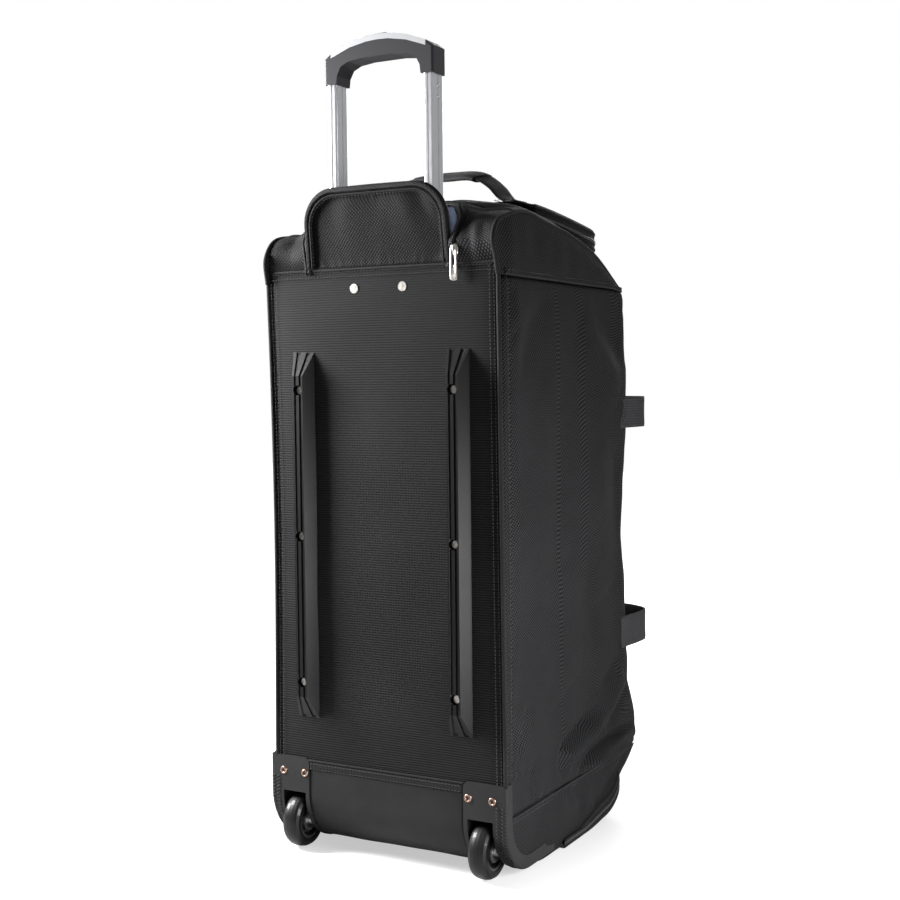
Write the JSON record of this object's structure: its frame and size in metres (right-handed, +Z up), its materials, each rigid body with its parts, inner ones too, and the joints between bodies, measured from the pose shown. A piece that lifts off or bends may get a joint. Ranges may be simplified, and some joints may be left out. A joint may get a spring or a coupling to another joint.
{
  "type": "rolling duffel bag",
  "caption": "Upright rolling duffel bag with a rigid ribbed back, skate wheels in corner guards, skid rails, a telescoping handle under a zipped flap, end pockets and webbing handles.",
  "frame": {"origin": "centre of the whole bag's footprint box, on the floor", "axes": "+Z up; -Y is the rigid back with the wheels, rails and telescoping handle; +Y is the soft front with the main zip; X runs from wheel to wheel"},
  "size_m": [0.3128, 0.4584, 0.9202],
  "materials": {
    "back_nylon": "ribbed matte nylon",
    "side_nylon": "twill matte nylon",
    "skirt": "smooth coated cloth",
    "lining": "woven lining",
    "webbing": "ribbed webbing",
    "piping": "woven edging",
    "board": "matte",
    "guard": "moulded, fine texture",
    "rail": "satin",
    "black_plastic": "satin",
    "zip": "satin coil",
    "nickel": "polished nickel",
    "copper": "copper rim",
    "steel": "zinc plated",
    "aluminium": "satin anodised",
    "tyre": "gloss polyurethane",
    "hub": "moulded"
  },
  "bodies": {
    "bag": {"back_panel": "back_nylon", "scuff_guard": "skirt", "base_board": "board", "side_panel_left": "side_nylon", "side_panel_right": "side_nylon", "front_panel": "side_nylon", "top_cap": "back_nylon", "bottom_cap": "side_nylon", "top_pocket": "side_nylon", "top_pocket_zip": "zip", "bottom_pocket": "side_nylon", "bottom_pocket_zip": "zip", "main_zip": "zip", "trolley_well_lining": "lining", "side_piping": "piping", "skid_rail_left": "rail", "skid_rail_right": "rail", "rail_screws": "steel", "panel_rivets": "nickel", "wheel_housing_left": "guard", "wheel_housing_right": "guard", "housing_rivets": "copper", "axle_left": "steel", "axle_right": "steel", "trolley_sleeves": "steel", "lower_bracket": "black_plastic", "upper_bezel": "black_plastic", "carry_handle_left": "webbing", "carry_handle_right": "webbing", "carry_grip": "webbing", "top_handle_tabs": "webbing", "top_handle_strap": "webbing", "top_handle_wrap": "webbing"},
    "wheel_left": {"tyre_left": "tyre", "hub_left": "hub", "bearings_left": "steel"},
    "wheel_right": {"tyre_right": "tyre", "hub_right": "hub", "bearings_right": "steel"},
    "trolley": {"tube_left": "aluminium", "tube_right": "aluminium", "grip": "black_plastic", "grip_trim": "aluminium", "tube_foot_left": "black_plastic", "tube_foot_right": "black_plastic"},
    "release": {"release_button": "black_plastic", "release_bar": "black_plastic", "pull_rods": "steel"},
    "lock_left": {"lock_pin_left": "steel"},
    "lock_right": {"lock_pin_right": "steel"},
    "flap": {"trolley_flap": "back_nylon", "flap_binding": "piping"},
    "flap_zip_slider": {"flap_slider": "nickel"},
    "flap_zip_pull": {"flap_pull": "nickel"},
    "main_zip_slider": {"main_slider": "nickel"},
    "main_zip_pull": {"main_pull": "nickel"},
    "top_zip_slider": {"top_pocket_slider": "nickel"},
    "top_zip_pull": {"top_pocket_pull": "nickel"},
    "bottom_zip_slider": {"bottom_pocket_slider": "nickel"},
    "bottom_zip_pull": {"bottom_pocket_pull": "nickel"}
  },
  "joints": [
    {"name": "wheel_left_spin", "type": "hinge", "parent": "bag", "child": "wheel_left", "pos_m": [-0.121, -0.1972, 0.032], "axis": [1, 0, 0], "continuous": true},
    {"name": "wheel_right_spin", "type": "hinge", "parent": "bag", "child": "wheel_right", "pos_m": [0.121, -0.1972, 0.032], "axis": [1, 0, 0], "continuous": true},
    {"name": "trolley_slide", "type": "slide", "parent": "bag", "child": "trolley", "axis": [0, 0, 1], "range_m": [-0.19, 0]},
    {"name": "release_press", "type": "slide", "parent": "trolley", "child": "release", "axis": [0, 0, 1], "range_m": [-0.005, 0], "stiffness_N_per_m": 400, "springref_m": 0.01},
    {"name": "lock_left_slide", "type": "slide", "parent": "trolley", "child": "lock_left", "axis": [1, 0, 0], "range_m": [0, 0.003]},
    {"name": "lock_right_slide", "type": "slide", "parent": "trolley", "child": "lock_right", "axis": [-1, 0, 0], "range_m": [0, 0.003]},
    {"name": "flap_fold", "type": "hinge", "parent": "bag", "child": "flap", "pos_m": [0, -0.2169, 0.6655], "axis": [1, 0, 0], "range_deg": [0, 150]},
    {"name": "flap_slider_slide", "type": "slide", "parent": "bag", "child": "flap_zip_slider", "axis": [0, 0, 1], "range_m": [0, 0.03]},
    {"name": "flap_pull_swing", "type": "hinge", "parent": "flap_zip_slider", "child": "flap_zip_pull", "pos_m": [0.098, -0.2203, 0.6835], "axis": [-1, 0, 0], "range_deg": [0, 100]},
    {"name": "main_slider_slide", "type": "slide", "parent": "bag", "child": "main_zip_slider", "axis": [0, 0, 1], "range_m": [-0.32, 0]},
    {"name": "main_pull_swing", "type": "hinge", "parent": "main_zip_slider", "child": "main_zip_pull", "pos_m": [0, 0.1663, 0.5865], "axis": [1, 0, 0], "range_deg": [0, 100]},
    {"name": "top_slider_slide", "type": "slide", "parent": "bag", "child": "top_zip_slider", "axis": [1, 0, 0], "range_m": [-0.11, 0.03]},
    {"name": "top_pull_swing", "type": "hinge", "parent": "top_zip_slider", "child": "top_zip_pull", "pos_m": [0.04, 0.1385, 0.7075], "axis": [1, 0, 0], "range_deg": [0, 100]},
    {"name": "bottom_slider_slide", "type": "slide", "parent": "bag", "child": "bottom_zip_slider", "axis": [1, 0, 0], "range_m": [-0.11, 0.03]},
    {"name": "bottom_pull_swing", "type": "hinge", "parent": "bottom_zip_slider", "child": "bottom_zip_pull", "pos_m": [0.04, 0.1385, 0.0195], "axis": [1, 0, 0], "range_deg": [0, 100]}
  ],
  "couplings": [
    {"joint": "lock_left_slide", "follows": "release_press", "ratio": -0.6},
    {"joint": "lock_right_slide", "follows": "release_press", "ratio": -0.6}
  ]
}
